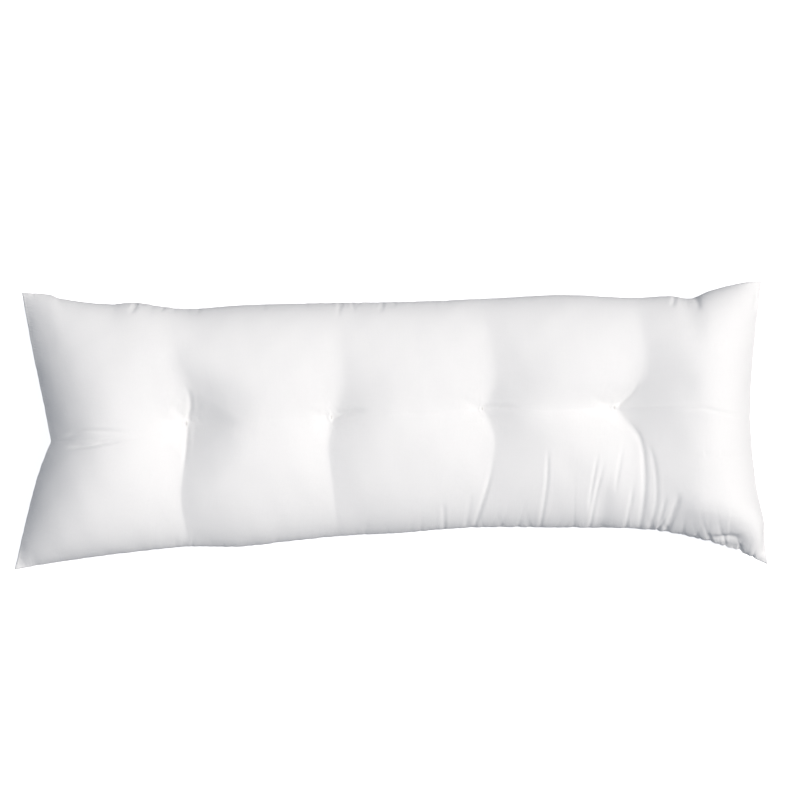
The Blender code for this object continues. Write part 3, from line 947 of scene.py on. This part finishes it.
def twisted_thread(name, colour, ply):
    """Thread of spun fibres, with painted shade: lighter where they stand proud and darker between them. Its plies
    have one thickness.
    """
    material, tree, shader = new_finish(name)
    space = node(tree, "ShaderNodeTexCoord", {}).outputs["Object"]
    fibres = noise(tree, stretched(tree, space, (1.0, 0.35, 1.0)), 3.0 / ply, detail=3.0, roughness=0.6)
    # painted shade: the fibres' bump height also lightens the thread where it stands proud
    tone = sum_up(tree, "MULTIPLY_ADD", fibres, *FIBRE_PAINTED_SHADE)
    tinted = node(tree, "ShaderNodeVectorMath", {0: colour, "Scale": tone}, operation="SCALE")
    tree.links.new(tinted.outputs[0], shader.inputs["Base Color"])
    tree.links.new(bump(tree, fibres, ply * 0.2), shader.inputs["Normal"])
    shader.inputs["Roughness"].default_value = 0.6
    shader.inputs["Sheen Weight"].default_value = 0.2
    return material


def seam_line(settings):
    """The bottom of the seam's groove, all round the pillow from one corner."""
    upper, lower = (shape_panel(settings, face).places for face in (1, -1))
    middle = (upper + lower) / 2
    return np.concatenate([middle[0, :-1], middle[:-1, -1], middle[-1, :0:-1], middle[:0:-1, 0]])


def stitch_seam(cover_settings, sewing):
    """Short stitches end to end along the groove of the edge seam."""
    line = seam_line(cover_settings)
    closed = np.vstack([line, line[:1]])
    run = np.concatenate([[0], np.cumsum(np.linalg.norm(np.diff(closed, axis=0), axis=1))])
    count = round(run[-1] / sewing.seam_stitch)
    stations = np.linspace(0, run[-1], count + 1)
    places = np.stack([np.interp(stations, run, closed[:, k]) for k in range(3)], axis=1)
    bm = bmesh.new()
    for start, end in zip(places[:-1], places[1:]):
        middle, heading = Vector((start + end) / 2), Vector(end - start)
        turn = heading.to_track_quat("Z", "Y").to_matrix().to_4x4()
        bmesh.ops.create_cone(
            bm,
            cap_ends=True,
            segments=STITCH_SIDES,
            radius1=sewing.seam_thread / 2,
            radius2=sewing.seam_thread / 2,
            depth=heading.length * STITCH_FILL,
            matrix=Matrix.Translation(middle) @ turn,
        )
    thread = twisted_thread("seam_thread", sewing.thread_colour, sewing.seam_thread)
    return finished("edge_seam_stitches", bm, thread)


def tie_path(sewing, side, share):
    """A place along one strand: it comes up out of the cloth, lies over the valley and goes back in."""
    strand, run = sewing.tie_strand, 2 * share - 1
    rise = strand * (1 - run**TIE_FLATNESS) * TIE_RISE
    return Vector((side * strand * STRAND_OFFSET, run * sewing.tie_length / 2, rise - strand * TIE_SINK))


def add_strand(bm, sewing, side):
    """A strand of a few plies twisted together, swept along its path."""
    rings = []
    for step in range(STRAND_STEPS + 1):
        share = step / STRAND_STEPS
        place = tie_path(sewing, side, share)
        heading = tie_path(sewing, side, share + HEADING_STEP) - tie_path(sewing, side, share - HEADING_STEP)
        frame_here = Matrix.Translation(place) @ heading.to_track_quat("Z", "X").to_matrix().to_4x4()
        ring = bmesh.ops.create_circle(bm, segments=STRAND_SIDES, radius=sewing.tie_strand / 2)["verts"]
        for k, vert in enumerate(ring):
            vert.co *= 1 + PLY_DEPTH * math.cos(PLIES * 2 * math.pi * k / STRAND_SIDES)
        twist = Matrix.Rotation(2 * math.pi * STRAND_TURNS * share, 4, "Z")
        bmesh.ops.transform(bm, verts=ring, matrix=frame_here @ twist)
        rings.append(list({edge for vert in ring for edge in vert.link_edges}))
    for first, second in zip(rings[:-1], rings[1:]):
        bmesh.ops.bridge_loops(bm, edges=first + second)
    bmesh.ops.holes_fill(bm, edges=rings[0] + rings[-1])


def draw_tie(name, line, face, cover, sewing, material):
    """The two strands of a tie that show in a dimple, laid on the cover."""
    bm = bmesh.new()
    for side in (-1, 1):
        add_strand(bm, sewing, side)
    bmesh.ops.recalc_face_normals(bm, faces=bm.faces)
    x, y = line.middle, float(along_seam(MIDDLE_LINE, line.middle))
    level = cover.ray_cast(Vector((x, y, face)), Vector((0, 0, -face)))[0].z
    if face < 0:
        bmesh.ops.rotate(bm, verts=bm.verts, matrix=Matrix.Rotation(math.pi, 3, "Y"))
    bmesh.ops.translate(bm, verts=bm.verts, vec=(x, y, level))
    return finished(name, bm, material)


def aimed(data, place, heading):
    """A lamp or camera at a place, turned to look along a heading."""
    made = bpy.data.objects.new(data.name, data)
    made.location = place
    made.rotation_mode = "QUATERNION"
    made.rotation_quaternion = Vector(heading).to_track_quat("-Z", "Y")
    bpy.context.scene.collection.objects.link(made)
    return made


def soft_fill(strength):
    """A world that lights the pillow evenly from above, and less strongly from below, as a pale floor does."""
    world = bpy.data.worlds.new("soft_fill")
    world.use_nodes = True
    tree = world.node_tree
    heading = node(tree, "ShaderNodeTexCoord", {}).outputs["Object"]
    rise = node(tree, "ShaderNodeSeparateXYZ", {"Vector": heading}).outputs["Z"]
    edges = {"From Min": -FILL_TURN, "From Max": FILL_TURN, "To Min": strength * FLOOR_SHARE, "To Max": strength}
    level = node(tree, "ShaderNodeMapRange", {"Value": rise, **edges}, interpolation_type="SMOOTHSTEP")
    backdrop = tree.nodes["Background"]
    backdrop.inputs["Color"].default_value = (*COOL_FILL, 1.0)
    tree.links.new(level.outputs["Result"], backdrop.inputs["Strength"])
    return world


class BODYPILLOW_OT_sew_cover(bpy.types.Operator):
    """Sew and fill the cotton cover"""

    bl_idname = "body_pillow.sew_cover"
    bl_label = "Sew Cover"

    def execute(self, context):
        cover = sew_cover(context.scene.pillow_cover)
        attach(cover, "root")
        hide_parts("filled_cover")
        return {"FINISHED"}


class BODYPILLOW_OT_stitch_seam(bpy.types.Operator):
    """Stitch the edge seam all round"""

    bl_idname = "body_pillow.stitch_seam"
    bl_label = "Stitch Edge Seam"

    def execute(self, context):
        stitches = stitch_seam(context.scene.pillow_cover, context.scene.pillow_sewing)
        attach(stitches, "root")
        return {"FINISHED"}


class BODYPILLOW_OT_draw_ties(bpy.types.Operator):
    """Draw the four ties through the pillow"""

    bl_idname = "body_pillow.draw_ties"
    bl_label = "Draw Ties"

    def execute(self, context):
        sewing = context.scene.pillow_sewing
        material = twisted_thread("tie_thread", sewing.thread_colour, sewing.tie_strand)
        cover = BVHTree.FromObject(bpy.data.objects["cotton_cover"], context.evaluated_depsgraph_get())
        for count, line in enumerate(CROSS_LINES[1:-1], start=1):
            for side, face in (("upper", 1), ("lower", -1)):
                tie = draw_tie(f"tie_{side}_{count}", line, face, cover, sewing, material)
                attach(tie, "root")
                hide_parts(f"tie_stitch_{side}_{count}")
        return {"FINISHED"}


class BODYPILLOW_OT_set_stage(bpy.types.Operator):
    """Lay the floor and set the lights and the camera"""

    bl_idname = "body_pillow.set_stage"
    bl_label = "Set Stage"

    def execute(self, context):
        stage = context.scene.pillow_stage
        bm = bmesh.new()
        bmesh.ops.create_grid(bm, x_segments=1, y_segments=1, size=FLOOR_SIDE / 2)
        material, _, shader = new_finish("pale_floor")
        shader.inputs["Base Color"].default_value = (*stage.floor_colour, 1.0)
        shader.inputs["Roughness"].default_value = 0.9
        shader.inputs["Emission Color"].default_value = (1.0, 1.0, 1.0, 1.0)
        shader.inputs["Emission Strength"].default_value = stage.floor_glow
        floor = finished("floor", bm, material)
        floor.visible_diffuse = False
        floor.visible_glossy = False

        key = bpy.data.lights.new("key", "SUN")
        key.energy, key.angle, key.color = stage.key_strength, stage.key_softness, WARM_KEY
        aimed(key, KEY_PLACE, KEY_HEADING)
        side = bpy.data.lights.new("side", "SUN")
        side.energy, side.angle, side.color = stage.side_strength, SIDE_SOFTNESS, WARM_KEY
        aimed(side, SIDE_PLACE, SIDE_HEADING)
        context.scene.world = soft_fill(stage.fill_strength)

        camera = bpy.data.cameras.new("camera")
        camera.lens = stage.camera_lens
        context.scene.camera = aimed(camera, (*FRAME_MIDDLE, stage.camera_height), (0, 0, -1))
        context.scene.view_settings.view_transform = "Standard"
        return {"FINISHED"}


class BODYPILLOW_PT_maker(bpy.types.Panel):
    """Lists what makes the pillow"""

    bl_label = "Body Pillow"
    bl_space_type = "VIEW_3D"
    bl_region_type = "UI"
    bl_category = "Body Pillow"

    def draw(self, context):
        for settings in (context.scene.pillow_cover, context.scene.pillow_sewing, context.scene.pillow_stage):
            box = self.layout.box()
            for name in settings.bl_rna.properties.keys():
                if name not in ("rna_type", "name"):
                    box.prop(settings, name)
        for operator in OPERATORS:
            self.layout.operator(operator.bl_idname)


SETTINGS = {
    "pillow_cover": PillowCoverSettings,
    "pillow_sewing": SewingSettings,
    "pillow_stage": StageSettings,
}
OPERATORS = (
    BODYPILLOW_OT_sew_cover,
    BODYPILLOW_OT_stitch_seam,
    BODYPILLOW_OT_draw_ties,
    BODYPILLOW_OT_set_stage,
)


def register():
    for kind in (*SETTINGS.values(), *OPERATORS, BODYPILLOW_PT_maker):
        bpy.utils.register_class(kind)
    for name, kind in SETTINGS.items():
        setattr(bpy.types.Scene, name, bpy.props.PointerProperty(type=kind))


def unregister():
    for name in SETTINGS:
        delattr(bpy.types.Scene, name)
    for kind in (BODYPILLOW_PT_maker, *reversed(OPERATORS), *reversed(SETTINGS.values())):
        bpy.utils.unregister_class(kind)


def main():
    register()
    bpy.ops.body_pillow.sew_cover()
    bpy.ops.body_pillow.stitch_seam()
    bpy.ops.body_pillow.draw_ties()
    bpy.ops.body_pillow.set_stage()


if __name__ == "__main__":
    main()
